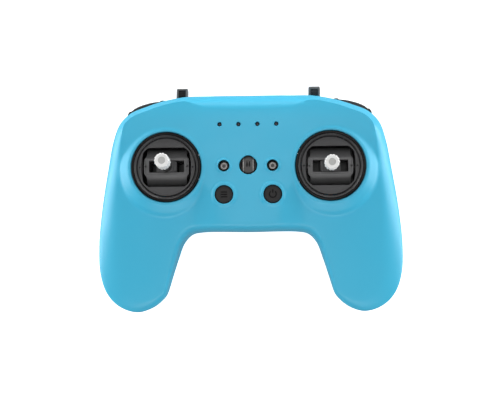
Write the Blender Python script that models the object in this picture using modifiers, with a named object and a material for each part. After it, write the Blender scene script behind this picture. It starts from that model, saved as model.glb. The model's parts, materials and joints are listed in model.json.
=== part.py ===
"""Radio transmitter controller: a two-stick, game-pad shaped hand set for models and drones.

Frame: metres, +Z out of the face, +Y towards the top edge with the two toggle switches, +X to
the right as seen from the front. The controller lies on its back: z = 0 is the plane that the
battery door and the two grips rest on. The helpers below take millimetres.
"""

import math

import bmesh
import bpy
from mathutils import Matrix, Vector
from mathutils.geometry import delaunay_2d_cdt

MM = 0.001
GAP = 0.3                       # clearance between neighbouring pieces

# --- Shell -----------------------------------------------------------------------------------
# Right half of the outline, from the top centre to the bottom centre:
# (x, y, width of the front edge, how much of it is a flat chamfer instead of a round)
OUTLINE = [
    (0.0, 53.6, 9.0, 0.0), (19.0, 53.6, 8.5, 0.0), (31.7, 53.7, 4.6, 0.6), (43.5, 51.8, 4.5, 0.9),
    (53.2, 48.8, 4.7, 0.9), (61.9, 45.1, 4.8, 0.9), (67.4, 39.5, 5.0, 0.7), (70.5, 30.8, 6.0, 0.3),
    (73.9, 12.4, 8.0, 0.0), (77.0, -6.2, 10.0, 0.0), (78.8, -23.0, 11.5, 0.0),
    (78.5, -38.0, 11.5, 0.0), (75.2, -48.5, 10.0, 0.0), (68.7, -55.4, 8.5, 0.0),
    (59.3, -58.4, 6.5, 0.0), (50.7, -55.8, 4.5, 0.0), (44.6, -50.5, 2.5, 0.0),
    (43.3, -48.1, 1.6, 0.0), (41.0, -40.9, 2.2, 0.0), (37.9, -31.2, 2.6, 0.0),
    (34.4, -22.2, 3.4, 0.0), (30.2, -18.0, 4.0, 0.0), (24.8, -16.9, 4.0, 0.0),
    (0.0, -16.9, 4.0, 0.0),
]
HALF_WIDTH = 78.8
OUTLINE_STEP = 5.2              # spacing of the points along the outline
EDGE_STEPS = 4                  # facets across a rounded edge
GRID = 7.0                      # spacing of the points inside the face
WALL = 2.0
FACE_Z = 38.0                   # face at its middle
SEAM_Z = 19.0                   # parting line between the shells, away from the grips
BACK_Z = 5.0                    # back surface between the hump and the grips
BACK_EDGE = 5.0                 # least width of the back's rounded edge
FRONT_STEEP = 2.0               # height of a shell's edge, as a share of its width
BACK_STEEP = 1.3
GRIP_FOOT = (61.0, -36.0)       # where a grip touches the ground
SIDES = {"left": -1, "right": 1}

# --- Stick units -----------------------------------------------------------------------------
STICK_AT = (41.4, 15.6)
PIVOT_Z = 26.5
THROTTLE_TILT = 3.0             # the left stick rests this far forward, in degrees
TURRET_Z = 38.2                 # flat collar around a stick opening
TURRET_R = 19.2
TURRET_SLOPE = 0.8
COLLAR_R = 23.3                 # outside it the turret falls more steeply
COLLAR_SLOPE = 0.5
STICK_HOLE_R = 17.9
RING_R = 17.5
RING_TOP = 39.0
PLATE_R = 14.6
PLATE_Z = (35.5, 37.6)
OPENING = (11.9, 9.9)        # half sizes of the opening in a face plate
OPENING_CUT = 2.6
FRAME_OUT = (14.4, 13.0)        # half sizes of a stick frame
FRAME_IN = (12.3, 11.6)
FRAME_Z = (15.5, 35.2)
FRAME_FLOOR = 16.7
BARREL_R = 10.8
BARREL_HALF = 11.3
BARREL_SHOULDER = 10.1          # half length beside the slot's rim
TRUNNION_R = 1.5
SLOT = (17.9, 6.1)
CARRIAGE_R = 10.2
CARRIAGE_HALF = (5.05, 2.8)     # half length and half thickness
PIN_R = 1.0
KNOB_R = 3.65
KNOB_Z = (20.0, 31.0)           # above the pivot
SHAFT_R = 1.5

# --- Controls and board ----------------------------------------------------------------------
BUTTON_AT = (12.27, 1.5)
BUTTON_R = 4.55
BUTTON_TOP = 38.4
SCREW_AT = (12.27, 15.95)
SCREW_HOLE_R = 2.9
STRAP_AT = (0.0, 16.2)
STRAP_R = 4.6
LED_X = (-14.3, -4.77, 4.77, 14.3)
LED_Y = 37.0
LED_R = 1.0
BOARD_Z = (28.0, 29.6)
BOARD_TOP = BOARD_Z[1] + GAP
TOGGLE_X = {"left": 35.6, "right": 34.2}
TOGGLE_Y = 50.8                 # pivot of a toggle lever
TOGGLE_Z = 13.0
TOGGLE_TIP_Y = 60.0
TOGGLE_TILT = 14.0              # how far a lever leans at either end of its travel, in degrees
BUMPER_ENDS = ((43.3, 51.9), (64.4, 43.6))
BUMPER_Z = (9.0, 17.5)
BUMPER_BULGE = 3.4
BUMPER_DEPTH = 4.5
CASE_SCREWS = {"upper": (54.5, 35.0), "lower": (61.0, -36.0)}
CASE_HOLE_R = 2.8
POST_R = 3.2
DOOR_HALF = (28.0, 17.0)
DOOR_Y = 27.0
DOOR_SCREW_X = 25.4
USB_Z = 14.0


def ramp(t):
    """Smooth step from 0 to 1."""
    t = min(1.0, max(0.0, t))
    return t * t * (3 - 2 * t)


def droop(x, y):
    """0 on the body and 1 at the ends of the grips; it starts higher up behind the turrets."""
    start = 14.0 * ramp((abs(x) - 14.0) / 14.0)
    t = max(0.0, (start - y) / (start + 58.0))
    return 1.12 * t * t / (t + 0.12)


def seam_height(x, y):
    return SEAM_Z - 5.0 * droop(x, y) ** 1.5


def face_height(x, y):
    """Front surface inside the rounded edge, with the two turrets."""
    side = 7.0 * (abs(x) / HALF_WIDTH) ** 3 * (1.0 - 0.75 * ramp((y - 13.0) / 24.0))
    grip = 16.0 * droop(x, y) * (0.35 + 0.65 * ramp((abs(x) - 6.0) / 24.0))
    top = 3.0 * min(1.0, max(0.0, (y - 38.0) / 17.0)) ** 2
    radius = math.hypot(abs(x) - STICK_AT[0], y - STICK_AT[1])
    fall = TURRET_SLOPE * max(0.0, radius - TURRET_R) + COLLAR_SLOPE * max(0.0, radius - COLLAR_R)
    return max(FACE_Z - side - grip - top, TURRET_Z - fall)


def back_height(x, y):
    """Back surface inside the rounded edge: flat on the battery hump and under each grip."""
    hump = ramp((38.0 - abs(x)) / 7.0) * ramp((y - 1.0) / 7.0)
    reach = math.hypot((abs(x) - GRIP_FOOT[0]) / 0.8, y - GRIP_FOOT[1])
    return BACK_Z * (1.0 - max(hump, ramp((24.0 - reach) / 15.0)))


# --- Blender helpers -------------------------------------------------------------------------
def clear_scene():
    for obj in list(bpy.data.objects):
        bpy.data.objects.remove(obj, do_unlink=True)


def make_collection(name):
    group = bpy.data.collections.new(name)
    bpy.context.scene.collection.children.link(group)
    return group


def make_material(name, colour, roughness, metallic=0.0):
    material = bpy.data.materials.new(name)
    material.use_nodes = True
    shader = material.node_tree.nodes["Principled BSDF"]
    shader.inputs["Base Color"].default_value = (*colour, 1.0)
    shader.inputs["Roughness"].default_value = roughness
    shader.inputs["Metallic"].default_value = metallic
    return material


clear_scene()
PARTS = make_collection("radio_transmitter_controller")
CUTTERS = make_collection("cutters")
BLUE = make_material("blue_shell", (0.11, 0.47, 0.66), 0.45)
BLACK = make_material("black_plastic", (0.02, 0.02, 0.021), 0.35)
GREY = make_material("grey_plastic", (0.05, 0.05, 0.052), 0.5)
RUBBER = make_material("dark_rubber", (0.03, 0.03, 0.03), 0.8)
WHITE = make_material("white_plastic", (0.8, 0.8, 0.8), 0.5)
STEEL = make_material("steel", (0.6, 0.6, 0.6), 0.3, 1.0)
BOARD = make_material("board", (0.02, 0.14, 0.06), 0.5)
FOIL = make_material("battery_wrap", (0.12, 0.13, 0.16), 0.4)
CLEAR = make_material("clear_plastic", (0.5, 0.52, 0.55), 0.2)


def own_material(name, base):
    """Each sub-part has a material of its own."""
    material = base.copy()
    material.name = name + "_" + base.name
    return material


def place(name, data, base, group=PARTS):
    """Link an object under its own material."""
    obj = bpy.data.objects.new(name, data)
    obj.data.materials.append(own_material(name, base))
    group.objects.link(obj)
    return obj


def smooth(obj, angle=35.0):
    obj.data.shade_smooth()
    obj.data.set_sharp_from_angle(angle=math.radians(angle))


def mesh_from(bm):
    mesh = bpy.data.meshes.new("mesh")
    bm.to_mesh(mesh)
    bm.free()
    return mesh


def move(obj, centre):
    obj.location = Vector(centre) * MM
    return obj


def box(name, centre, size, base, bevel=0.0, group=PARTS):
    bm = bmesh.new()
    bmesh.ops.create_cube(bm, size=1.0, matrix=Matrix.Diagonal((*(s * MM for s in size), 1.0)))
    obj = place(name, mesh_from(bm), base, group)
    if bevel:
        edge = obj.modifiers.new("round", "BEVEL")
        edge.width = bevel * MM
        edge.segments = 1
        edge.limit_method = "ANGLE"
    return move(obj, centre)


def turned(name, centre, profile, base, steps=24, closed=False, group=PARTS):
    """A profile of (radius, z), run down its outer side, turned about Z."""
    bm = bmesh.new()
    verts = [bm.verts.new((r * MM, 0.0, z * MM)) for r, z in profile]
    for a, b in zip(verts, verts[1:]):
        bm.edges.new((a, b))
    if closed:
        bm.edges.new((verts[-1], verts[0]))
    obj = place(name, mesh_from(bm), base, group)
    screw = obj.modifiers.new("turn", "SCREW")
    screw.axis = "Z"
    screw.steps = steps
    screw.render_steps = steps
    screw.use_merge_vertices = True
    screw.merge_threshold = 0.00001
    screw.use_smooth_shade = True
    return move(obj, centre)


def rod(name, centre, radius, low, high, base, steps=24, group=PARTS):
    """A cylinder along Z from low to high above its centre."""
    profile = [(0.0, high), (radius, high), (radius, low), (0.0, low)]
    return turned(name, centre, profile, base, steps, group=group)


def prism(name, loops, low, high, base, group=PARTS):
    """A flat outline with its holes, extruded along Z from low to high."""
    curve = bpy.data.curves.new(name, "CURVE")
    curve.dimensions = "2D"
    curve.fill_mode = "BOTH"
    curve.extrude = (high - low) / 2 * MM
    for loop in loops:
        spline = curve.splines.new("POLY")
        spline.points.add(len(loop) - 1)
        for point, (x, y) in zip(spline.points, loop):
            point.co = (x * MM, y * MM, 0.0, 1.0)
        spline.use_cyclic_u = True
    obj = place(name, curve, base, group)
    return move(obj, (0.0, 0.0, (low + high) / 2))


def as_mesh(obj):
    """Turn a curve object into a mesh object with welded caps, ready to cut or be cut."""
    bpy.context.view_layer.update()
    graph = bpy.context.evaluated_depsgraph_get()
    mesh = bpy.data.meshes.new_from_object(obj.evaluated_get(graph))
    bm = bmesh.new()
    bm.from_mesh(mesh)
    bmesh.ops.remove_doubles(bm, verts=bm.verts, dist=0.000001)
    bmesh.ops.recalc_face_normals(bm, faces=bm.faces)
    bm.to_mesh(mesh)
    bm.free()
    solid = bpy.data.objects.new(obj.name, mesh)
    solid.matrix_world = obj.matrix_world.copy()
    for group in obj.users_collection:
        group.objects.link(solid)
    name = obj.name
    bpy.data.objects.remove(obj, do_unlink=True)
    solid.name = name
    return solid


def combine(obj, tool, operation):
    """Boolean by a hidden tool object."""
    tool.hide_render = True
    tool.display_type = "WIRE"
    step = obj.modifiers.new(operation.lower(), "BOOLEAN")
    step.operation = operation
    step.solver = "EXACT"
    step.object = tool
    return obj


def cut(obj, *tools):
    for tool in tools:
        combine(obj, tool, "DIFFERENCE")
    return obj


def lay(obj, axis):
    """Turn an object built along Z so that it lies along X or Y."""
    obj.rotation_euler = {"X": (0.0, math.pi / 2, 0.0), "Y": (-math.pi / 2, 0.0, 0.0)}[axis]
    return obj


def pivot(name, centre, rotation=(0.0, 0.0, 0.0), parent=None):
    """An empty on a joint's axis, which carries the pieces that turn about it."""
    empty = bpy.data.objects.new(name, None)
    empty.empty_display_size = 5 * MM
    empty.location = Vector(centre) * MM
    empty.rotation_euler = [math.radians(a) for a in rotation]
    empty.parent = parent
    PARTS.objects.link(empty)
    return empty


def carry(empty, *pieces):
    """Parent pieces whose places are given from the empty."""
    for piece in pieces:
        piece.parent = empty


def circle(cx, cy, radius, count):
    return [(cx + radius * math.cos(2 * math.pi * k / count),
             cy + radius * math.sin(2 * math.pi * k / count)) for k in range(count)]


def rounded_rect(cx, cy, half_x, half_y, corner):
    """Rectangle with cut corners."""
    x, y, c = half_x, half_y, corner
    points = [(x, y - c), (x - c, y), (c - x, y), (-x, y - c),
              (-x, c - y), (c - x, -y), (x - c, -y), (x, c - y)]
    return [(cx + px, cy + py) for px, py in points]


# --- Shell surfaces --------------------------------------------------------------------------
def spline_points(controls, step):
    """Closed centripetal Catmull-Rom curve through the control points, about one step apart."""
    points = []
    count = len(controls)
    for i in range(count):
        p = [Vector(controls[(i + k) % count]) for k in (-1, 0, 1, 2)]
        knot = [0.0]
        for a, b in zip(p, p[1:]):
            knot.append(knot[-1] + math.sqrt((b.xy - a.xy).length))
        pieces = max(1, round((p[2].xy - p[1].xy).length / step))
        for k in range(pieces):
            t = knot[1] + (knot[2] - knot[1]) * k / pieces
            level = p
            for reach in (1, 2):
                level = [(a * (knot[j + reach] - t) + b * (t - knot[j])) / (knot[j + reach] - knot[j])
                         for j, (a, b) in enumerate(zip(level, level[1:]))]
            a, b = level
            points.append((a * (knot[2] - t) + b * (t - knot[1])) / (knot[2] - knot[1]))
    return points


def full_outline(step=OUTLINE_STEP):
    """The whole outline, clockwise from the top centre: point, inward direction, edge data."""
    left = [(-x, y, w, c) for x, y, w, c in OUTLINE[-2:0:-1]]
    points = spline_points(OUTLINE + left, step)
    result = []
    for before, here, after in zip(points[-1:] + points[:-1], points, points[1:] + points[:1]):
        along = (after.xy - before.xy).normalized()
        result.append((here.xy, Vector((along.y, -along.x)), here.z, here.w))
    return result


def edge_loops(surface, seam, widths, steep):
    """Loops of points from the seam, over the rounded edge, to the rim of the inner surface."""
    loops = [[(point.x, point.y, seam(point.x, point.y)) for point, inward, width, chamfer in widths]]
    for k in range(EDGE_STEPS + 1):
        share = k / EDGE_STEPS
        turn = math.pi / 2 * share
        loop = []
        for point, inward, width, chamfer in widths:
            offset = width * ((1.0 - chamfer) * (1.0 - math.cos(turn)) + chamfer * share)
            x, y = point + inward * (offset + 0.02)
            flat = surface(x, y)
            rise = min(steep * width * (1.0 + 0.8 * chamfer), 0.8 * abs(flat - seam(x, y)))
            drop = rise * (1.0 - (1.0 - chamfer) * math.sin(turn) - chamfer * share)
            loop.append((x, y, flat - math.copysign(drop, flat - seam(x, y))))
        loops.append(loop)
    return loops


def inside(point, loop):
    """Whether a point lies in a closed polygon."""
    found = False
    for (x0, y0), (x1, y1) in zip(loop, loop[1:] + loop[:1]):
        if (y0 > point[1]) != (y1 > point[1]):
            if point[0] < x0 + (point[1] - y0) * (x1 - x0) / (y1 - y0):
                found = not found
    return found


def clear_of(point, loops, room):
    return all(math.hypot(point[0] - x, point[1] - y) > room for loop in loops for x, y in loop)


def skin(surface, seam, widths, steep, holes, guides):
    """Open surface of one shell half: the rounded edge as bands, the inside as a triangle net."""
    rings = edge_loops(surface, seam, widths, steep)
    rim = [(x, y) for x, y, z in rings[-1]]
    fences = [rim] + holes
    columns, rows = int(HALF_WIDTH / GRID), int(60.0 / GRID)
    grid = [(GRID * (i + 0.5 * (j % 2)), GRID * j)
            for i in range(-columns - 1, columns + 1) for j in range(-rows, rows + 1)]
    net = [p for p in guides if inside(p, rim) and clear_of(p, fences, 1.2)]
    net += [p for p in grid if inside(p, rim) and not any(inside(p, h) for h in holes)
            and clear_of(p, fences, 0.5 * GRID) and clear_of(p, [guides], 2.5)]
    flat, edges = [], []
    for loop in fences:
        start = len(flat)
        flat += loop
        edges += [(start + k, start + (k + 1) % len(loop)) for k in range(len(loop))]
    flat += net
    found = delaunay_2d_cdt([Vector(p) for p in flat], edges, [], 1, 1e-5)
    bm = bmesh.new()
    bands = [[bm.verts.new(Vector(p) * MM) for p in ring] for ring in rings[:-1]]
    inner = [bm.verts.new(Vector((x, y, surface(x, y))) * MM) for x, y in flat]
    bands.append(inner[:len(rim)])
    for low, high in zip(bands, bands[1:]):
        for k in range(len(low)):
            n = (k + 1) % len(low)
            bm.faces.new((low[k], low[n], high[n], high[k]))
    source = [group[0] for group in found[3]]
    for face in found[2]:
        middle = sum((found[0][k] for k in face), Vector((0.0, 0.0))) / 3
        if not any(inside(middle, hole) for hole in holes):
            bm.faces.new([inner[source[k]] for k in face])
    bmesh.ops.recalc_face_normals(bm, faces=bm.faces)
    if sum(f.normal.z * f.calc_area() for f in bm.faces) * (surface(0, 0) - seam(0, 0)) < 0:
        bmesh.ops.reverse_faces(bm, faces=bm.faces)
    return mesh_from(bm)


def thicken(obj):
    wall = obj.modifiers.new("wall", "SOLIDIFY")
    wall.thickness = WALL * MM
    wall.offset = -1.0
    wall.use_even_offset = True
    wall.use_quality_normals = True
    return obj


def chord(sign):
    """Ends, direction and outward direction of a bumper's chord in plan."""
    a = Vector((sign * BUMPER_ENDS[0][0], BUMPER_ENDS[0][1]))
    b = Vector((sign * BUMPER_ENDS[1][0], BUMPER_ENDS[1][1]))
    along = (b - a).normalized()
    outward = Vector((-along.y, along.x)) * sign
    return a, (b - a).length, along, outward


def bumper_plan(sign, bulge, depth, grow):
    """Plan of a bumper: follows the shell and stands out of it by the bulge at its middle."""
    start, length, along, outward = chord(sign)
    curve = [p for p, *rest in full_outline(1.5) if p.x * sign > 0 and p.y > 40]
    outer = []
    for k in range(9):
        share = k / 8
        u = -grow + share * (length + 2 * grow)
        near = min(curve, key=lambda p: abs((p - start).dot(along) - u))
        v = (near - start).dot(outward) + bulge * (0.2 + 0.8 * math.sin(math.pi * share ** 1.3) ** 0.5)
        outer.append(start + along * u + outward * v)
    back = [start + along * (length + grow) - outward * depth, start - along * grow - outward * depth]
    return [tuple(p) for p in outer + back]


def make_front_shell():
    holes = [circle(sign * STICK_AT[0], STICK_AT[1], STICK_HOLE_R, 32) for sign in (-1, 1)]
    holes += [circle(sign * BUTTON_AT[0], BUTTON_AT[1], BUTTON_R + 1.6 * GAP, 16) for sign in (-1, 1)]
    holes += [circle(sign * SCREW_AT[0], SCREW_AT[1], SCREW_HOLE_R, 12) for sign in (-1, 1)]
    holes += [circle(x, LED_Y, LED_R + GAP, 8) for x in LED_X]
    holes += [circle(*STRAP_AT, STRAP_R, 16)]
    guides = [p for sign in (-1, 1) for radius in (TURRET_R, COLLAR_R)
              for p in circle(sign * STICK_AT[0], STICK_AT[1], radius, 32)]
    mesh = skin(face_height, seam_height, full_outline(), FRONT_STEEP, holes, guides)
    shell = thicken(place("front_shell", mesh, BLUE))
    for sign in (-1, 1):
        for x, y in CASE_SCREWS.values():
            top = min(face_height(*p) for p in circle(x, y, POST_R, 12)) - 0.6
            low = back_height(x, y) + 4.6
            post = rod("post", (sign * x, y, 0.0), POST_R, low, top, BLUE, 12, CUTTERS)
            bore = rod("bore", (sign * x, y, 0.0), 1.5, low - 1.0, low + 9.0, BLUE, 8, CUTTERS)
            combine(shell, post, "UNION")
            cut(shell, bore)
    smooth(shell, 50.0)
    return shell


def make_back_shell():
    holes = [rounded_rect(0.0, DOOR_Y, DOOR_HALF[0], DOOR_HALF[1], 2.0)]
    holes += [circle(sign * x, y, CASE_HOLE_R, 14) for sign in (-1, 1) for x, y in CASE_SCREWS.values()]
    widths = [(p, n, max(BACK_EDGE, w), 0.0) for p, n, w, c in full_outline()]
    mesh = skin(back_height, lambda x, y: seam_height(x, y) - GAP, widths, BACK_STEEP, holes,
                [(0.0, 0.0)])
    shell = thicken(place("back_shell", mesh, BLUE))
    for side, sign in SIDES.items():
        slot = box("toggle_slot", (sign * TOGGLE_X[side], 55.0, TOGGLE_Z), (7.3, 9.0, 8.4), BLACK,
                   group=CUTTERS)
        plan = bumper_plan(sign, BUMPER_BULGE + 1.0, BUMPER_DEPTH + 0.5, 0.4)
        pocket = as_mesh(prism("bumper_slot", [plan], BUMPER_Z[0] - 0.4, BUMPER_Z[1] + 0.4, BLACK,
                               CUTTERS))
        cut(shell, slot, pocket)
    cut(shell, box("usb_slot", (0.0, -17.0, USB_Z), (9.8, 8.0, 4.0), BLACK, group=CUTTERS))
    smooth(shell, 50.0)
    return shell


# --- Stick units -----------------------------------------------------------------------------
def make_stick_unit(side, sign):
    """Ring, plate, frame and sensors, which are fixed, and the barrel and stick, which turn."""
    x, y = sign * STICK_AT[0], STICK_AT[1]
    inner, top, bottom = PLATE_R + GAP, RING_TOP, PLATE_Z[0]
    ring = [(RING_R, top - 0.4), (RING_R, bottom), (inner, bottom), (inner, top - 1.8),
            (inner + 0.3, top - 1.5), (RING_R - 1.1, top - 0.3), (RING_R - 0.8, top),
            (RING_R - 0.3, top)]
    turned(side + "_trim_ring", (x, y, 0.0), ring, BLACK, 32, closed=True)
    opening = rounded_rect(x, y, *OPENING, OPENING_CUT)
    prism(side + "_face_plate", [circle(x, y, PLATE_R, 32), opening], *PLATE_Z, GREY)

    outside, inside_plan = rounded_rect(x, y, *FRAME_OUT, 1.5), rounded_rect(x, y, *FRAME_IN, 1.0)
    frame = as_mesh(prism(side + "_stick_frame", [outside], *FRAME_Z, BLACK))
    well = as_mesh(prism("frame_well", [inside_plan], FRAME_FLOOR, FRAME_Z[1] + 1, BLACK, CUTTERS))
    bore = lay(rod("frame_bore", (x, y, PIVOT_Z), TRUNNION_R + GAP, -16, 16, BLACK, 16, CUTTERS), "X")
    cut(frame, well, bore)
    box(side + "_pitch_sensor", (x + sign * 16.8, y, PIVOT_Z), (4.2, 9.0, 9.0), GREY, 0.6)
    box(side + "_roll_sensor", (x, y + 15.2, PIVOT_Z), (9.0, 3.8, 9.0), GREY, 0.6)
    make_spring(side + "_return_spring", (x, y - 15.6, 18.0), 1.6, 0.35, 12.0)

    tilt = THROTTLE_TILT if side == "left" else 0.0
    pitch = pivot(side + "_pitch_axis", (x, y, PIVOT_Z), (-tilt, 0.0, 0.0))
    roll = pivot(side + "_roll_axis", (0.0, 0.0, 0.0), parent=pitch)
    carry(pitch, *make_barrel(side + "_barrel"))
    carry(roll, *make_stick(side))


def make_barrel(name):
    """Drum on two trunnions, with flat ends, a slot for the stick and an open underside."""
    half, tip, r = BARREL_HALF, FRAME_OUT[0] - 0.2, BARREL_R
    profile = [(0.0, tip), (TRUNNION_R, tip), (TRUNNION_R, half), (r, half),
               (r, -half), (TRUNNION_R, -half), (TRUNNION_R, -tip), (0.0, -tip)]
    barrel = lay(turned(name, (0.0, 0.0, 0.0), profile, GREY, 28), "X")
    side = BARREL_SHOULDER
    plan = [(tip + 1, 2.0), (half, 2.4), (half - 0.1, 3.4), (side, 5.2), (side, r + 1)]
    plan = plan + [(-px, py) for px, py in reversed(plan)]
    plan = plan + [(-px, -py) for px, py in plan]
    envelope = as_mesh(prism("barrel_envelope", [plan], -4.0, r + 1, GREY, CUTTERS))
    slot = box("barrel_slot", (0.0, 0.0, 3.0), (*SLOT, 30.0), GREY, group=CUTTERS)
    bore = lay(rod("pin_bore", (0.0, 0.0, 0.0), PIN_R + GAP, -7.0, 7.0, GREY, 16, CUTTERS), "Y")
    for tool in (envelope, slot, bore):
        tool.name = name + "_" + tool.name
    combine(barrel, envelope, "INTERSECT")
    return [cut(barrel, slot, bore), envelope, slot, bore]


def make_stick(side):
    """Carriage in the barrel's slot, its pin, the steel shaft and the knob."""
    half, thick = CARRIAGE_HALF
    start = math.acos(half / CARRIAGE_R)
    arc = [(CARRIAGE_R * math.cos(a), CARRIAGE_R * math.sin(a))
           for a in (start + (math.pi - 2 * start) * k / 8 for k in range(9))]
    outline = arc + [(-half, -2.5), (-1.6, -4.0), (-1.6, -9.0), (1.6, -9.0), (1.6, -4.0), (half, -2.5)]
    carriage = as_mesh(prism(side + "_carriage", [outline], -thick, thick, BLACK))
    carriage.rotation_euler = (math.pi / 2, 0.0, 0.0)
    bore = lay(rod(side + "_carriage_bore", (0.0, 0.0, 0.0), PIN_R + GAP, -4.0, 4.0, GREY, 16, CUTTERS),
               "Y")
    cut(carriage, bore)
    pin = lay(rod(side + "_stick_pin", (0.0, 0.0, 0.0), PIN_R, -6.6, 6.6, STEEL, 16), "Y")
    shaft = rod(side + "_stick_shaft", (0.0, 0.0, 0.0), SHAFT_R, CARRIAGE_R + GAP, KNOB_Z[1] - 0.2, STEEL, 20)
    low, high = KNOB_Z
    sleeve = [(KNOB_R - 0.5, high), (KNOB_R, high - 0.5), (KNOB_R, low + 3.0), (3.2, low),
              (SHAFT_R + GAP, low), (SHAFT_R + GAP, high)]
    knob = turned(side + "_stick_knob", (0.0, 0.0, 0.0), sleeve, WHITE, 20, closed=True)
    return [carriage, bore, pin, shaft, knob]


def make_spring(name, centre, radius, wire, height):
    """Closed-end helical spring along Z."""
    turns, per_turn = 5, 7
    curve = bpy.data.curves.new(name, "CURVE")
    curve.dimensions = "3D"
    curve.bevel_depth = wire * MM
    curve.bevel_resolution = 2
    curve.use_fill_caps = True
    spline = curve.splines.new("POLY")
    spline.points.add(turns * per_turn)
    for k, point in enumerate(spline.points):
        angle = 2 * math.pi * k / per_turn
        z = height * k / (turns * per_turn)
        point.co = (radius * math.cos(angle) * MM, radius * math.sin(angle) * MM, z * MM, 1.0)
    return move(place(name, curve, STEEL), centre)


# --- Buttons, switches, lights and the strap eye ---------------------------------------------
def make_face_button(name, sign):
    x, y = sign * BUTTON_AT[0], BUTTON_AT[1]
    profile = [(0.0, BUTTON_TOP), (BUTTON_R - 0.4, BUTTON_TOP), (BUTTON_R, BUTTON_TOP - 0.4),
               (BUTTON_R, 34.8), (6.0, 34.8), (6.0, 33.7), (1.6, 33.7), (1.6, 32.9), (0.0, 32.9)]
    carry(pivot(name + "_travel", (x, y, 0.0)), turned(name, (0.0, 0.0, 0.0), profile, RUBBER, 20))
    box(name + "_switch", (x, y, BOARD_TOP + 0.85), (6.0, 6.0, 1.7), STEEL, 0.3)


def make_front_screw(side, sign):
    """Pan-head screw with a cross recess, seen at the bottom of its hole."""
    profile = [(0.0, 36.9), (1.2, 36.8), (2.1, 36.1), (2.1, 35.3), (1.0, 35.3), (1.0, 30.2),
               (0.0, 30.2)]
    screw = turned(side + "_front_screw", (sign * SCREW_AT[0], SCREW_AT[1], 0.0), profile, STEEL, 16)
    for angle in (0.0, math.pi / 2):
        slot = box("recess", (sign * SCREW_AT[0], SCREW_AT[1], 37.0), (2.4, 0.5, 1.6), STEEL,
                   group=CUTTERS)
        slot.rotation_euler.z = angle
        cut(screw, slot)


def make_strap_eye():
    """Cup sunk in the face and the upright bar across it that a strap clip hooks on."""
    x, y = STRAP_AT
    r = STRAP_R - GAP
    profile = [(0.0, 31.8), (r - 0.8, 31.8), (r - 0.8, 37.6), (r - 0.2, 37.6), (r, 37.4), (r, 35.7),
               (7.0, 35.7), (7.0, 34.6), (r, 34.6), (r, 31.0), (0.0, 31.0)]
    turned("strap_cup", (x, y, 0.0), profile, BLACK, 20)
    box("strap_bar", (x, y, 34.5), (4.4, 4.8, 4.6), GREY, 0.5)


def make_toggle(side, sign):
    """Flat lever on a cross pin at the top edge; it leans one way on each side at rest."""
    tilt = -sign * TOGGLE_TILT
    centre = (sign * TOGGLE_X[side], TOGGLE_Y, TOGGLE_Z)
    axis = pivot(side + "_toggle_axis", centre, (-tilt, 0.0, 0.0))
    length = TOGGLE_TIP_Y - TOGGLE_Y
    reach = (length - 1.9 * math.sin(math.radians(TOGGLE_TILT))) / math.cos(math.radians(TOGGLE_TILT))
    lever = box(side + "_toggle_lever", (0.0, reach / 2, 0.0), (6.3, reach, 3.8), GREY, 0.6)
    carry(axis, lever)
    box(side + "_toggle_switch", (sign * TOGGLE_X[side], 45.4, TOGGLE_Z), (9.0, 7.6, 9.0), BLACK, 0.5)


def make_bumper(side, sign):
    """Shoulder button that slides straight into the shell, and the switch behind it."""
    plan = bumper_plan(sign, BUMPER_BULGE, BUMPER_DEPTH, 0.0)
    bumper = as_mesh(prism(side + "_bumper", [plan], *BUMPER_Z, BLACK))
    edge = bumper.modifiers.new("round", "BEVEL")
    edge.width = 0.6 * MM
    edge.segments = 2
    edge.limit_method = "ANGLE"
    edge.angle_limit = math.radians(50.0)
    start, length, along, outward = chord(sign)
    middle = start + along * length / 2
    origin = Vector((middle.x, middle.y, sum(BUMPER_Z) / 2)) * MM
    carry(pivot(side + "_bumper_travel", tuple(origin / MM)), bumper)
    bumper.location -= origin
    spot = middle - outward * (BUMPER_DEPTH + 3.2)
    switch = box(side + "_bumper_switch", (spot.x, spot.y, origin.z / MM), (6.0, 3.6, 6.0), BLACK, 0.4)
    switch.rotation_euler.z = math.atan2(along.y, along.x)


# --- Inside of the case ----------------------------------------------------------------------
def make_board():
    plan = rounded_rect(0.0, 18.0, 22.0, 28.0, 3.0)
    prism("main_board", [plan], *BOARD_Z, BOARD)
    box("radio_module", (0.0, 36.0, 26.2), (18.0, 14.0, 3.0), STEEL, 0.4)
    rod("buzzer", (12.0, 4.0, 0.0), 5.0, 23.9, 27.7, BLACK, 24)
    box("antenna_strip", (0.0, 49.6, 24.0), (44.0, 0.8, 6.0), FOIL)
    for number, x in enumerate(LED_X, 1):
        rod(f"led_pipe_{number}", (x, LED_Y, 0.0), LED_R, BOARD_TOP, 37.1, CLEAR, 12)


def make_power():
    """Battery behind its door, the two door screws and the charging socket."""
    box("battery_pack", (0.0, DOOR_Y, 8.0), (46.0, 31.0, 9.0), FOIL, 1.5)
    half_x, half_y = DOOR_HALF
    plan = [rounded_rect(0.0, DOOR_Y, half_x - GAP, half_y - GAP, 2.0)]
    plan += [circle(sign * DOOR_SCREW_X, DOOR_Y, 1.7, 14) for sign in (-1, 1)]
    prism("battery_door", plan, 0.0, WALL, BLUE)
    for side, sign in SIDES.items():
        profile = [(0.0, 9.0), (0.8, 9.0), (0.8, 1.9), (1.4, 1.9), (1.4, 0.5), (0.0, 0.5)]
        turned(side + "_door_screw", (sign * DOOR_SCREW_X, DOOR_Y, 0.0), profile, STEEL, 16)
    socket = box("usb_socket", (0.0, -12.9, USB_Z), (8.9, 7.4, 3.2), STEEL)
    mouth = box("usb_mouth", (0.0, -14.2, USB_Z), (8.1, 5.6, 2.4), STEEL, group=CUTTERS)
    cut(socket, mouth)


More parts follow.
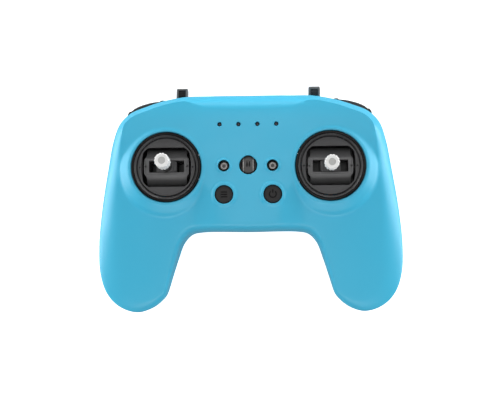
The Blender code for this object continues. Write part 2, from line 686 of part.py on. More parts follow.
def make_case_screws():
    for side, sign in SIDES.items():
        for level, (x, y) in CASE_SCREWS.items():
            floor = back_height(x, y)
            profile = [(0.0, floor + 11.0), (1.2, floor + 11.0), (1.2, floor + 3.2),
                       (2.4, floor + 3.2), (2.4, floor + 1.4), (0.0, floor + 1.4)]
            name = f"{side}_{level}_case_screw"
            turned(name, (sign * x, y, 0.0), profile, STEEL, 16)


def main():
    make_front_shell()
    make_back_shell()
    for side, sign in SIDES.items():
        make_stick_unit(side, sign)
        make_front_screw(side, sign)
        make_toggle(side, sign)
        make_bumper(side, sign)
    make_face_button("menu_button", -1)
    make_face_button("power_button", 1)
    make_strap_eye()
    make_board()
    make_power()
    make_case_screws()


main()
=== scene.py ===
"""Looks of the radio transmitter controller: fine shells, stick units, controls and materials.

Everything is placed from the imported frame. The helpers take millimetres, as the CAD does.
"""

import json
import math

import bmesh
import bpy
from mathutils import Matrix, Vector, kdtree
from mathutils.geometry import delaunay_2d_cdt


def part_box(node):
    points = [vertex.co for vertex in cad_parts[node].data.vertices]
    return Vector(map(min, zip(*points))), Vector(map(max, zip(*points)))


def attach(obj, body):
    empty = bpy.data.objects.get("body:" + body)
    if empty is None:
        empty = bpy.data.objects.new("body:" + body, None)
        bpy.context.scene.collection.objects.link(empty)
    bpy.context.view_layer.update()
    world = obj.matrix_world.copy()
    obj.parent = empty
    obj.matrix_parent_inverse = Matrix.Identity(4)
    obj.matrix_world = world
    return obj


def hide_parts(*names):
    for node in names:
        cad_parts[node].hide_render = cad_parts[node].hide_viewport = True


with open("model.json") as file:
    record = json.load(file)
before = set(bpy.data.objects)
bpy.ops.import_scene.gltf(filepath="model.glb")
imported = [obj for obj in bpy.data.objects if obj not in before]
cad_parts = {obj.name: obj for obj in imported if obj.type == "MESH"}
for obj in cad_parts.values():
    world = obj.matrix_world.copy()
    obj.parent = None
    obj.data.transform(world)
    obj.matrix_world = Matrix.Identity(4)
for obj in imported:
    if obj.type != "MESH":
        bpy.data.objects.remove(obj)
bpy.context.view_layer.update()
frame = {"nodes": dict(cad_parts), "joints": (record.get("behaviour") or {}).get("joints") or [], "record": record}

MM = 0.001
MICRON = 0.000001
SIDES = {"left": -1, "right": 1}
BODY = "case"

# --- Places read from the frame, in millimetres ---


def node_box(name):
    low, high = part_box(name)
    return low / MM, high / MM


def node_centre(name):
    low, high = node_box(name)
    return (low + high) / 2


JOINTS = {joint["name"]: joint for joint in frame["joints"]}


def joint_place(name):
    return Vector(JOINTS[name]["pos_m"]) / MM


STICK = {side: joint_place(side + "_pitch") for side in SIDES}
TURRET_AT = STICK["right"].xy
RING_LOW, RING_HIGH = node_box("right_trim_ring")
RING_R = (RING_HIGH.x - RING_LOW.x) / 2
PLATE_LOW, PLATE_HIGH = node_box("right_face_plate")
PLATE_R = (PLATE_HIGH.x - PLATE_LOW.x) / 2
BUTTON = {name: node_centre(name) for name in ("menu_button", "power_button")}
BUTTON_TOP = node_box("menu_button")[1].z
FRONT_SCREW = {side: node_centre(side + "_front_screw") for side in SIDES}
STRAP = node_centre("strap_cup")
LEDS = [node_centre(f"led_pipe_{k + 1}") for k in range(4)]
DOOR_LOW, DOOR_HIGH = node_box("battery_door")

# --- Shell, as in the CAD: x, y, width of the front edge, share of it that is a chamfer ---
OUTLINE = [
    (0, 53.6, 9, 0), (19, 53.6, 8.5, 0), (31.7, 53.7, 4.6, 0.6), (43.5, 51.8, 4.5, 0.9),
    (53.2, 48.8, 4.7, 0.9), (61.9, 45.1, 4.8, 0.9), (67.4, 39.5, 5, 0.7), (70.5, 30.8, 6, 0.3),
    (73.9, 12.4, 8, 0), (77, -6.2, 10, 0), (78.8, -23, 11.5, 0), (78.5, -38, 11.5, 0),
    (75.2, -48.5, 10, 0), (68.7, -55.4, 8.5, 0), (59.3, -58.4, 6.5, 0), (50.7, -55.8, 4.5, 0),
    (44.6, -50.5, 2.5, 0), (43.3, -48.1, 1.6, 0), (41, -40.9, 2.2, 0), (37.9, -31.2, 2.6, 0),
    (34.4, -22.2, 3.4, 0), (30.2, -18, 4, 0), (24.8, -16.9, 4, 0), (0, -16.9, 4, 0),
]
HALF_WIDTH = 78.8
OUTLINE_STEP = 1.3
EDGE_STEPS = 12
GRID = 1.9
GRID_ROW = 0.87                 # distance between rows, as a share of the grid
GUIDE_GAP = 0.35                # least distance of a guide point from an edge
RIM_STEPS = 3
WALL = 1.8
SEAM_GAP = 0.3
SEAM_CHAMFER = 0.3
SEAM_INSET = 0.06               # how far the wall above the chamfer stands back
FACE_Z = 38
SEAM_Z = 19
BACK_Z = 5
BACK_EDGE = 5
FRONT_STEEP = 2               # height of a rounded edge, as a share of its width
BACK_STEEP = 1.3
GRIP_FOOT = (61, -36)
TURRET_Z = 38.2
TURRET_R = 19.2
TURRET_SLOPE = 0.8
COLLAR_R = 23.3                 # outside it the turret falls more steeply
COLLAR_SLOPE = 0.5
STICK_HOLE_R = RING_R + 0.3
BUTTON_R = 4.55
BUTTON_COLLAR = (7, 5.3, 0.8) # foot radius, top radius and height round a face button
SCREW_HOLE_R = 2.9
SCREW_COLLAR = (4.2, 3.2, 0.55)
STRAP_HOLE = (4.6, 4.65)
LED_R = 1


def ramp(t):
    t = min(1, max(0, t))
    return t * t * (3 - 2 * t)


def soft_max(a, b, width):
    return (a + b + math.sqrt((a - b) ** 2 + width * width)) / 2


def droop(x, y):
    """0 on the body and 1 at the ends of the grips; it starts higher up behind the turrets."""
    start = 14 * ramp((abs(x) - 14) / 14)
    t = max(0, (start - y) / (start + 58))
    return 1.12 * t * t / (t + 0.12)


def seam_height(x, y):
    return SEAM_Z - 5 * droop(x, y) ** 1.5


def back_seam(x, y):
    return seam_height(x, y) - SEAM_GAP


def collar(x, y, centre, size):
    """How far the low collar round a hole stands above the face."""
    foot, top, height = size
    radius = math.hypot(x - centre.x, y - centre.y)
    return height * ramp((foot - radius) / (foot - top))


def face_height(x, y):
    """Front surface inside the rounded edge, with turrets and the collars round the controls."""
    side = 7 * (abs(x) / HALF_WIDTH) ** 3 * (1 - 0.75 * ramp((y - 13) / 24))
    grip = 16 * droop(x, y) * (0.35 + 0.65 * ramp((abs(x) - 6) / 24))
    top = 3 * min(1, max(0, (y - 38) / 17)) ** 2
    radius = math.hypot(abs(x) - TURRET_AT.x, y - TURRET_AT.y)
    fall = (TURRET_SLOPE * soft_max(0, radius - TURRET_R, 0.3)
            + COLLAR_SLOPE * soft_max(0, radius - COLLAR_R, 0.25))
    z = soft_max(FACE_Z - side - grip - top, TURRET_Z - fall, 0.3)
    for centre in BUTTON.values():
        z += collar(x, y, centre, BUTTON_COLLAR)
    for centre in FRONT_SCREW.values():
        z += collar(x, y, centre, SCREW_COLLAR)
    return z


def back_height(x, y):
    """Back surface inside the rounded edge: flat on the battery hump and under each grip."""
    hump = ramp((38 - abs(x)) / 7) * ramp((y - 1) / 7)
    reach = math.hypot((abs(x) - GRIP_FOOT[0]) / 0.8, y - GRIP_FOOT[1])
    return BACK_Z * (1 - max(hump, ramp((24 - reach) / 15)))


# --- Mesh helpers ---
def link(name, mesh):
    obj = bpy.data.objects.new(name, mesh)
    bpy.context.scene.collection.objects.link(obj)
    return obj


def mesh_from(bm, name="mesh"):
    mesh = bpy.data.meshes.new(name)
    bm.to_mesh(mesh)
    bm.free()
    return mesh


def smooth(obj, angle=32):
    obj.data.shade_smooth()
    obj.data.set_sharp_from_angle(angle=math.radians(angle))
    return obj


def apply_modifiers(obj):
    bpy.context.view_layer.update()
    graph = bpy.context.evaluated_depsgraph_get()
    mesh = bpy.data.meshes.new_from_object(obj.evaluated_get(graph))
    obj.modifiers.clear()
    obj.data = mesh
    return obj


def boolean(obj, tools, operation="DIFFERENCE"):
    for tool in tools:
        step = obj.modifiers.new("cut", "BOOLEAN")
        step.operation = operation
        step.solver = "EXACT"
        step.object = tool
    apply_modifiers(obj)
    for tool in tools:
        bpy.data.objects.remove(tool, do_unlink=True)
    return obj


def transform(obj, place=(0, 0, 0), rotation=(0, 0, 0)):
    """Move a mesh built about the origin, in millimetres and degrees, to its place."""
    turn = Matrix.Identity(4)
    for axis, angle in zip("XYZ", rotation):
        turn = Matrix.Rotation(math.radians(angle), 4, axis) @ turn
    obj.data.transform(Matrix.Translation(Vector(place) * MM) @ turn)
    return obj


def block(name, size, place=(0, 0, 0), radius=0, segments=3):
    """Box with rounded edges."""
    bm = bmesh.new()
    bmesh.ops.create_cube(bm, size=1, matrix=Matrix.Diagonal((*(s * MM for s in size), 1)))
    if radius:
        bmesh.ops.bevel(bm, geom=bm.edges[:], offset=radius * MM, segments=segments, profile=0.5,
                        affect="EDGES", clamp_overlap=True)
    return transform(link(name, mesh_from(bm)), place)


def strip(bm, low, high):
    """Four-sided faces between two closed loops of vertices."""
    for k in range(len(low)):
        n = (k + 1) % len(low)
        bm.faces.new((low[k], low[n], high[n], high[k]))


def joined(loops):
    """The points of closed loops in one list, and the edges between them."""
    points, edges = [], []
    for loop in loops:
        start = len(points)
        points += loop
        edges += [(start + k, start + (k + 1) % len(loop)) for k in range(len(loop))]
    return points, edges


def loft(name, rings, closed=False):
    """Skin over loops of the same number of points; capped at both ends, or closed round."""
    bm = bmesh.new()
    loops = [[bm.verts.new(Vector(p) * MM) for p in ring] for ring in rings]
    for low, high in zip(loops, loops[1:] + loops[:1] if closed else loops[1:]):
        strip(bm, low, high)
    if not closed:
        bm.faces.new(loops[0][::-1])
        bm.faces.new(loops[-1])
    bmesh.ops.recalc_face_normals(bm, faces=bm.faces)
    return link(name, mesh_from(bm))


def turned(name, profile, steps=64, closed=False, wobble=None):
    """Turn (radius, z) points about Z; wobble(angle, point number) is added to the radius."""
    rings = []
    for number, (radius, z) in enumerate(profile):
        ring = []
        for k in range(steps):
            angle = 2 * math.pi * k / steps
            r = max(radius, 0.001) + (wobble(angle, number) if wobble else 0)
            ring.append((r * math.cos(angle), r * math.sin(angle), z))
        rings.append(ring)
    return loft(name, rings, closed=closed)


def fillet_profile(corners, radius, steps=4):
    """Round the inner corners of an open (radius, z) profile."""
    result = [corners[0]]
    for before, here, after in zip(corners, corners[1:], corners[2:]):
        a, b, c = Vector(before), Vector(here), Vector(after)
        reach = min(radius, (a - b).length * 0.45, (c - b).length * 0.45)
        start, end = b + (a - b).normalized() * reach, b + (c - b).normalized() * reach
        for k in range(steps + 1):
            t = k / steps
            result.append(tuple(start * (1 - t) ** 2 + b * 2 * t * (1 - t) + end * t * t))
    return result + [corners[-1]]


def prism(name, outline, low, high, radius=0, holes=()):
    """Flat outline with holes, extruded along Z, with softened rims."""
    flat, edges = joined([outline, *holes])
    found = delaunay_2d_cdt([Vector(p) for p in flat], edges, [], 1, 1e-6)
    bm = bmesh.new()
    verts = [bm.verts.new((p.x * MM, p.y * MM, low * MM)) for p in found[0]]
    for face in found[2]:
        middle = sum((found[0][k] for k in face), Vector((0, 0))) / len(face)
        if not any(inside(middle, hole) for hole in holes):
            bm.faces.new([verts[k] for k in face])
    bmesh.ops.dissolve_limit(bm, angle_limit=0.001, verts=bm.verts, edges=bm.edges)
    top = bmesh.ops.extrude_face_region(bm, geom=bm.faces[:])
    moved = [v for v in top["geom"] if isinstance(v, bmesh.types.BMVert)]
    bmesh.ops.translate(bm, verts=moved, vec=(0, 0, (high - low) * MM))
    bmesh.ops.recalc_face_normals(bm, faces=bm.faces)
    if radius:
        rims = [e for e in bm.edges if abs(e.verts[0].co.z - e.verts[1].co.z) < 1e-9
                and e.calc_face_angle(0) > 1]
        bmesh.ops.bevel(bm, geom=rims, offset=radius * MM, segments=2, profile=0.5, affect="EDGES")
    return link(name, mesh_from(bm))


def quarter(steps, first=0):
    """Angles that divide a quarter turn."""
    return [math.pi / 2 * k / steps for k in range(first, steps + 1)]


def circle(cx, cy, radius, count, start=0):
    return [(cx + radius * math.cos(start + 2 * math.pi * k / count),
             cy + radius * math.sin(start + 2 * math.pi * k / count)) for k in range(count)]


def inside(point, loop):
    found = False
    for (x0, y0), (x1, y1) in zip(loop, loop[1:] + loop[:1]):
        if (y0 > point[1]) != (y1 > point[1]):
            if point[0] < x0 + (point[1] - y0) * (x1 - x0) / (y1 - y0):
                found = not found
    return found


def rounded_rect(cx, cy, half_x, half_y, radius, steps=6):
    points = []
    for sx, sy, start in ((1, 1, 0), (-1, 1, 90), (-1, -1, 180), (1, -1, 270)):
        for k in range(steps + 1):
            a = math.radians(start + 90 * k / steps)
            points.append((cx + sx * (half_x - radius) + radius * math.cos(a),
                           cy + sy * (half_y - radius) + radius * math.sin(a)))
    return points


# --- Shells ---
def spline_points(controls, step):
    """Closed centripetal Catmull-Rom curve through the control points, about one step apart."""
    points = []
    count = len(controls)
    for i in range(count):
        p = [Vector(controls[(i + k) % count]) for k in (-1, 0, 1, 2)]
        knot = [0]
        for a, b in zip(p, p[1:]):
            knot.append(knot[-1] + math.sqrt((b.xy - a.xy).length))
        pieces = max(1, round((p[2].xy - p[1].xy).length / step))
        for k in range(pieces):
            t = knot[1] + (knot[2] - knot[1]) * k / pieces
            level = [(a * (knot[j + 1] - t) + b * (t - knot[j])) / (knot[j + 1] - knot[j])
                     for j, (a, b) in enumerate(zip(p, p[1:]))]
            level = [(a * (knot[j + 2] - t) + b * (t - knot[j])) / (knot[j + 2] - knot[j])
                     for j, (a, b) in enumerate(zip(level, level[1:]))]
            a, b = level
            points.append((a * (knot[2] - t) + b * (t - knot[1])) / (knot[2] - knot[1]))
    return points


def full_outline(step=OUTLINE_STEP):
    """The whole outline, clockwise from the top centre: point, inward direction, edge data."""
    left = [(-x, y, w, c) for x, y, w, c in OUTLINE[-2:0:-1]]
    points = spline_points(OUTLINE + left, step)
    result = []
    for before, here, after in zip(points[-1:] + points[:-1], points, points[1:] + points[:1]):
        along = (after.xy - before.xy).normalized()
        result.append((here.xy, Vector((along.y, -along.x)), here.z, here.w))
    return result


def edge_loops(surface, seam, widths, steep):
    """Loops of points from the chamfer at the seam over the rounded edge."""
    loops = []
    for offset, share in ((SEAM_CHAMFER, 0), (SEAM_INSET, 1)):
        loop = []
        for point, inward, *_ in widths:
            x, y = point + inward * offset
            z = seam(x, y)
            loop.append((x, y, z + math.copysign(SEAM_CHAMFER, surface(x, y) - z) * share))
        loops.append(loop)
    for k in range(EDGE_STEPS + 1):
        share = k / EDGE_STEPS
        turn = math.pi / 2 * share
        loop = []
        for point, inward, width, chamfer in widths:
            offset = width * ((1 - chamfer) * (1 - math.cos(turn)) + chamfer * share)
            x, y = point + inward * (offset + SEAM_INSET)
            flat = surface(x, y)
            rise = min(steep * width * (1 + 0.8 * chamfer), 0.8 * abs(flat - seam(x, y)))
            drop = rise * (1 - (1 - chamfer) * math.sin(turn) - chamfer * share)
            loop.append((x, y, flat - math.copysign(drop, flat - seam(x, y))))
        loops.append(loop)
    return loops


def near_tree(points):
    tree = kdtree.KDTree(len(points))
    for k, (x, y) in enumerate(points):
        tree.insert((x, y, 0), k)
    tree.balance()
    return tree


def shell(name, surface, seam, widths, steep, holes, guides):
    """Closed shell half. Each hole is (loop at the wall, loop at the start of its rounded rim)."""
    rings = edge_loops(surface, seam, widths, steep)
    rim = [(x, y) for x, y, _ in rings[-1]]
    fences = [rim] + [fence for wall, fence in holes]

    def solid(point):
        return inside(point, rim) and not any(inside(point, fence) for fence in fences[1:])

    fence_tree = near_tree([p for fence in fences for p in fence])
    net = [p for p in guides if solid(p) and fence_tree.find((*p, 0))[2] > GUIDE_GAP]
    tree = near_tree([p for fence in fences for p in fence] + net)
    columns, rows = int(HALF_WIDTH / GRID), int(60 / GRID / GRID_ROW)
    for j in range(-rows, rows + 1):
        for i in range(-columns - 1, columns + 1):
            p = (GRID * (i + 0.5 * (j % 2)), GRID * GRID_ROW * j)
            if tree.find((*p, 0))[2] > 0.6 * GRID and solid(p):
                net.append(p)
    flat, edges = joined(fences)
    flat += net
    found = delaunay_2d_cdt([Vector(p) for p in flat], edges, [], 1, 1e-5)
    source = [group[0] for group in found[3]]

    bm = bmesh.new()
    bands = [[bm.verts.new(Vector(p) * MM) for p in ring] for ring in rings[:-1]]
    inner = [bm.verts.new(Vector((x, y, surface(x, y))) * MM) for x, y in flat]
    bands.append(inner[:len(rim)])
    for low, high in zip(bands, bands[1:]):
        strip(bm, low, high)
    for face in found[2]:
        middle = sum((found[0][k] for k in face), Vector((0, 0))) / 3
        if not any(inside(middle, fence) for fence in fences[1:]):
            bm.faces.new([inner[source[k]] for k in face])
    bmesh.ops.recalc_face_normals(bm, faces=bm.faces)
    up = 1 if surface(0, 0) > seam(0, 0) else -1
    if sum(f.normal.z * f.calc_area() for f in bm.faces) * up < 0:
        bmesh.ops.reverse_faces(bm, faces=bm.faces)
    bm.normal_update()

    outer_verts, outer_faces = list(bm.verts), list(bm.faces)
    twin = {v: bm.verts.new(v.co - v.normal * WALL * MM) for v in outer_verts}
    for face in outer_faces:
        bm.faces.new([twin[v] for v in reversed(face.verts)])
    for k in range(len(bands[0])):
        n = (k + 1) % len(bands[0])
        bm.faces.new((bands[0][n], bands[0][k], twin[bands[0][k]], twin[bands[0][n]]))
    start = len(rim)
    for wall, fence in holes:
        chain = [inner[start:start + len(fence)]]
        for turn in quarter(RIM_STEPS, 1):
            share = math.sin(turn)
            step = []
            for (wx, wy), (fx, fy), vert in zip(wall, fence, chain[0]):
                depth = math.hypot(fx - wx, fy - wy) * (1 - math.cos(turn))
                place = (fx + (wx - fx) * share, fy + (wy - fy) * share, vert.co.z / MM - up * depth)
                step.append(bm.verts.new(Vector(place) * MM))
            chain.append(step)
        chain.append([bm.verts.new((v.co.x, v.co.y, twin[f].co.z))
                      for v, f in zip(chain[-1], chain[0])])
        chain.append([twin[v] for v in chain[0]])
        for low, high in zip(chain, chain[1:]):
            strip(bm, low, high)
        start += len(fence)
    bmesh.ops.recalc_face_normals(bm, faces=bm.faces)
    return link(name, mesh_from(bm))


def rings_of_points(centre, radii, count):
    return [p for k, r in enumerate(radii)
            for p in circle(*centre.xy, r, count, math.pi * (k % 2) / count)]


def drill(holes, guides, centre, size, radii, density):
    """Add a hole with a rounded rim, given as radius, rim and points, and rings of points round it."""
    radius, rim, count = size
    holes.append([circle(*centre.xy, r, count) for r in (radius, radius + rim)])
    guides += rings_of_points(centre, radii, density)


def strap_loop(grow, count=56):
    """Outline of the strap eye: an oval with a blunt point at the top."""
    points = []
    for k in range(count):
        angle = 2 * math.pi * k / count
        lift = 0.35 * max(0, math.sin(angle)) ** 6
        points.append((STRAP.x + (STRAP_HOLE[0] + grow) * math.cos(angle),
                       STRAP.y + (STRAP_HOLE[1] + lift + grow) * math.sin(angle)))
    return points


# Radii of the rings of points that follow the raised shapes round the holes.
TURRET_GUIDES = [18.5, 18.8, 19.1, 19.5, 20.2, 21, 21.8, 22.5, 22.9, 23.2, 23.5, 23.8, 24.2, 24.7,
                 25.3, 26.1]
BUTTON_GUIDES = [5.35, 5.6, 5.9, 6.15, 6.4, 6.7, 7, 7.6]
SCREW_GUIDES = [3.3, 3.5, 3.75, 4, 4.5]
STRAP_GUIDES = [5.3, 6.2]
LED_GUIDES = [1.7, 2.3]
CASE_SCREW_GUIDES = [3.7, 4.6]
DOOR_GAP = 0.3


def front_shell():
    holes, guides = [], []
    for centre in STICK.values():
        drill(holes, guides, centre, (STICK_HOLE_R, 0.35, 120), TURRET_GUIDES, 120)
    for centre in BUTTON.values():
        drill(holes, guides, centre, (BUTTON_R + 0.2, 0.2, 64), BUTTON_GUIDES, 56)
    for centre in FRONT_SCREW.values():
        drill(holes, guides, centre, (SCREW_HOLE_R, 0.2, 48), SCREW_GUIDES, 40)
    holes.append((strap_loop(0), strap_loop(0.25)))
    guides += rings_of_points(STRAP, STRAP_GUIDES, 40)
    for centre in LEDS:
        drill(holes, guides, centre, (LED_R + 0.15, 0.15, 32), LED_GUIDES, 20)
    return shell("shell_front", face_height, seam_height, full_outline(), FRONT_STEEP, holes, guides)


def back_shell():
    half, middle = (DOOR_HIGH - DOOR_LOW) / 2, (DOOR_LOW.y + DOOR_HIGH.y) / 2
    holes = [[rounded_rect(0, middle, half.x + DOOR_GAP + rim, half.y + DOOR_GAP + rim, 2.2 + rim)
              for rim in (0, 0.25)]]
    guides = []
    for side in SIDES:
        for level in ("upper", "lower"):
            centre = node_centre(f"{side}_{level}_case_screw")
            drill(holes, guides, centre, (2.8, 0.3, 40), CASE_SCREW_GUIDES, 32)
    widths = [(p, inward, max(BACK_EDGE, w), 0) for p, inward, w, _ in full_outline()]
    obj = shell("shell_back", back_height, back_seam, widths, BACK_STEEP, holes, guides)
    tools = [block("usb_cut", (9.8, 8, 4.2), (0, -17, node_centre("usb_socket").z), 1.2)]
    for side, sign in SIDES.items():
        pivot = joint_place(side + "_toggle_tilt")
        tools.append(block("toggle_cut", (7.3, 9, 8.4), (pivot.x, 55, pivot.z), 0.5))
        tools.append(bumper_solid("bumper_cut", side, sign, 0.4, 0.4))
    return boolean(obj, tools)


# --- Shoulder buttons ---
BUMPER_ENDS = ((43.3, 51.9), (64.4, 43.6))
BUMPER_BULGE = 3.4
BUMPER_DEPTH = 4.5
BUMPER_STEPS = 26
BUMPER_RIM_STEPS = 6


def bumper_solid(name, side, sign, grow, rim):
    """Bar that follows the shoulder, with crowned face and rounded rims; grow makes its pocket."""
    a, b = (Vector((sign * x, y)) for x, y in BUMPER_ENDS)
    along, length = (b - a).normalized(), (b - a).length
    outward = Vector((-along.y, along.x)) * sign
    curve = [p for p, *_ in full_outline(0.7) if p.x * sign > 0 and p.y > 38]
    low, high = node_box(side + "_bumper")
    z0, z1 = low.z - grow, high.z + grow
    bulge = BUMPER_BULGE + (1.2 if grow else -0.05)
    turns = quarter(BUMPER_RIM_STEPS)
    rings = []
    for k in range(BUMPER_STEPS + 1):
        share = k / BUMPER_STEPS
        u = -grow + share * (length + 2 * grow)
        near = min(curve, key=lambda p: abs((p - a).dot(along) - u))
        face = (near - a).dot(outward) + bulge * (0.2 + 0.8 * math.sin(math.pi * share ** 1.3) ** 0.5)
        to_end = min(share, 1 - share) * BUMPER_STEPS / 2
        front = face - rim * (1 - math.sin(math.acos(max(-1, min(1, 1 - to_end)))))
        ring = [(-BUMPER_DEPTH - grow, z0), (-BUMPER_DEPTH - grow, z1)]
        ring += [(front - rim * (1 - math.sin(a)), z1 - rim * (1 - math.cos(a))) for a in turns]
        ring += [(front - rim * (1 - math.cos(a)), z0 + rim * (1 - math.sin(a))) for a in turns]
        rings.append([(*(a + along * u + outward * v), z) for v, z in ring])
    return loft(name, rings)


# --- Materials ---
class Nodes:
    """A Principled material and helpers that wire procedural detail into it."""

    def __init__(self, name, colour, roughness, metallic=0):
        self.material = bpy.data.materials.new(name)
        self.material.use_nodes = True
        self.tree = self.material.node_tree
        self.shader = self.tree.nodes["Principled BSDF"]
        values = {"Base Color": (*colour, 1), "Roughness": roughness, "Metallic": metallic}
        for key, value in values.items():
            self.shader.inputs[key].default_value = value
        self.place = self.tree.nodes.new("ShaderNodeTexCoord").outputs["Object"]

    def join(self, output, target):
        self.tree.links.new(output, target)

    def noise(self, scale, detail=3, roughness=0.5, stretch=None):
        """Noise in object space; scale is features a metre."""
        noise = self.tree.nodes.new("ShaderNodeTexNoise")
        noise.inputs["Scale"].default_value = scale
        noise.inputs["Detail"].default_value = detail
        noise.inputs["Roughness"].default_value = roughness
        source = self.place
        if stretch:
            mapping = self.tree.nodes.new("ShaderNodeMapping")
            mapping.inputs["Scale"].default_value = stretch
            self.join(source, mapping.inputs["Vector"])
            source = mapping.outputs["Vector"]
        self.join(source, noise.inputs["Vector"])
        return noise.outputs["Fac"]

    def span(self, value, low, high, start=0.3, end=0.7):
        """Map part of a 0 to 1 value onto a range."""
        node = self.tree.nodes.new("ShaderNodeMapRange")
        for key, number in (("From Min", start), ("From Max", end), ("To Min", low), ("To Max", high)):
            node.inputs[key].default_value = number
        self.join(value, node.inputs["Value"])
        return node.outputs["Result"]

    def tint(self, value, low, high, start=0.3, end=0.7):
        """Colour between two colours by a value."""
        node = self.tree.nodes.new("ShaderNodeValToRGB")
        for element, place, colour in zip(node.color_ramp.elements, (start, end), (low, high)):
            element.position = place
            element.color = (*colour, 1)
        self.join(value, node.inputs["Fac"])
        return node.outputs["Color"]

    def bump(self, height, distance, strength=1):
        node = self.tree.nodes.new("ShaderNodeBump")
        node.inputs["Distance"].default_value = distance
        node.inputs["Strength"].default_value = strength
        self.join(height, node.inputs["Height"])
        self.join(node.outputs["Normal"], self.shader.inputs["Normal"])


def shade(colour, factor):
    return tuple(c * factor for c in colour)


def moulded(name, colour, roughness, grain, depth, spread, strength, specular=0.5):
    """Spark-eroded plastic: grain a few micrometres deep, faint mottling, slightly uneven gloss."""
    n = Nodes(name, colour, roughness)
    mottle = n.tint(n.noise(28, 2), shade(colour, 1 - spread), shade(colour, 1 + spread))
    n.join(mottle, n.shader.inputs["Base Color"])
    n.join(n.span(n.noise(90), roughness - 0.04, roughness + 0.04), n.shader.inputs["Roughness"])
    n.shader.inputs["Specular IOR Level"].default_value = specular
    n.bump(n.noise(grain, 2), depth * MICRON, strength)
    return n.material


def brushed(name, colour, roughness, stretch):
    """Metal with fine drawn lines."""
    n = Nodes(name, colour, roughness, 1)
    lines = n.noise(900, 4, 0.6, stretch)
    n.join(n.tint(lines, shade(colour, 0.85), colour), n.shader.inputs["Base Color"])
    n.join(n.span(lines, roughness - 0.08, roughness + 0.12), n.shader.inputs["Roughness"])
    n.bump(lines, 0.00001, 0.4)
    return n.material


def circuit_board(name):
    """Green solder mask over tracks."""
    n = Nodes(name, (0.01, 0.1, 0.04), 0.35)
    cells = n.tree.nodes.new("ShaderNodeTexVoronoi")
    cells.feature = "DISTANCE_TO_EDGE"
    cells.inputs["Scale"].default_value = 260
    n.join(n.place, cells.inputs["Vector"])
    tracks = cells.outputs["Distance"]
    n.join(n.tint(tracks, (0.03, 0.2, 0.07), (0.008, 0.085, 0.035), 0.05, 0.12),
           n.shader.inputs["Base Color"])
    n.bump(tracks, 0.00003, 0.5)
    return n.material


BLUE = (0.038, 0.432, 0.655)
# Name, colour, roughness, grain a metre, its depth, mottling, strength of the grain, specular.
SHELL = moulded("shell_blue", BLUE, 0.42, 3000, 8, 0.012, 0.35, 0.58)
DOOR = moulded("door_blue", BLUE, 0.46, 2400, 10, 0.015, 0.4)
GLOSS = moulded("ring_gloss_black", (0.0015, 0.0015, 0.0018), 0.22, 1800, 3, 0.1, 0.1, 0.16)
KNURL = moulded("knurled_black", (0.034, 0.034, 0.036), 0.3, 3200, 6, 0.1, 0.3)
PLATE = moulded("plate_grey", (0.05, 0.05, 0.052), 0.55, 3400, 20, 0.05, 0.7)
DRUM = moulded("drum_grey", (0.1, 0.1, 0.102), 0.45, 3400, 16, 0.05, 0.6)
BLACK = moulded("satin_black", (0.005, 0.005, 0.0055), 0.38, 2800, 10, 0.08, 0.4)
CARRIAGE = moulded("carriage_grey", (0.05, 0.05, 0.052), 0.45, 2800, 10, 0.06, 0.4)
# Dark grey of the strap bar's channel: painted shade.
EYE_SHADED = moulded("eye_shaded_grey", (0.075, 0.073, 0.071), 0.4, 2600, 6, 0.06, 0.3)
# Light grey of the strap bar's rails: painted highlight.
RAIL_LIT = moulded("eye_rail_lit_grey", (0.34, 0.33, 0.32), 0.36, 2600, 6, 0.05, 0.3)
LEVER = moulded("lever_grey", (0.11, 0.11, 0.11), 0.4, 2600, 12, 0.06, 0.5)
SHOULDER = moulded("shoulder_black", (0.018, 0.018, 0.019), 0.33, 2400, 6, 0.08, 0.3)
# Black for painted shade: the inlays in the button signs and the linings of the face screw holes.
SHADE_BLACK = moulded("shade_black", (0.003, 0.003, 0.003), 0.6, 2600, 6, 0.06, 0.3, 0.12)
# Grey for the painted shade in the face screws' recesses.
RECESS_SHADE = moulded("recess_shade_grey", (0.13, 0.126, 0.122), 0.6, 2600, 6, 0.06, 0.3, 0.2)
RUBBER = moulded("button_rubber", (0.024, 0.023, 0.023), 0.7, 3600, 20, 0.06, 0.8, 0.3)
KNOB = moulded("knob_white", (0.78, 0.78, 0.77), 0.42, 2600, 8, 0.02, 0.4)
HUB = moulded("knob_hub_grey", (0.45, 0.45, 0.44), 0.5, 2600, 10, 0.03, 0.4)
LENS = moulded("smoked_lens", (0.062, 0.046, 0.05), 0.25, 900, 4, 0.1, 0.2)
WRAP = moulded("battery_wrap", (0.07, 0.08, 0.11), 0.3, 500, 50, 0.2, 0.6)
CLEAR = moulded("light_pipe", (0.5, 0.52, 0.55), 0.2, 1200, 4, 0.05, 0.2)
STEEL = brushed("screw_steel", (0.48, 0.47, 0.46), 0.56, (1, 6, 1))
SHAFT = brushed("shaft_steel", (0.55, 0.55, 0.55), 0.26, (1, 1, 12))
SOCKET = brushed("socket_nickel", (0.6, 0.59, 0.57), 0.24, (8, 1, 1))
BOARD = circuit_board("board_green")
SLOT_MATERIAL = {
    "blue_shell": SHELL, "black_plastic": BLACK, "grey_plastic": DRUM, "dark_rubber": RUBBER,
    "white_plastic": KNOB, "steel": STEEL, "board": BOARD, "battery_wrap": WRAP,
    "clear_plastic": CLEAR,
}


def finish_piece(obj, material, slot, *nodes, body=BODY, angle=35):
    """Shading, material, the body it rides on and the CAD nodes it stands for; slot is not used."""
    smooth(obj, angle)
    obj.data.materials.clear()
    obj.data.materials.append(material)
    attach(obj, body)
    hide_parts(*nodes)
    return obj


def soften(obj, width):
    """Round the edges of a cut mesh."""
    bevel = obj.modifiers.new("soften", "BEVEL")
    bevel.width = width * MM
    bevel.segments = 2
    bevel.limit_method = "ANGLE"
    bevel.angle_limit = math.radians(30)
    return apply_modifiers(obj)


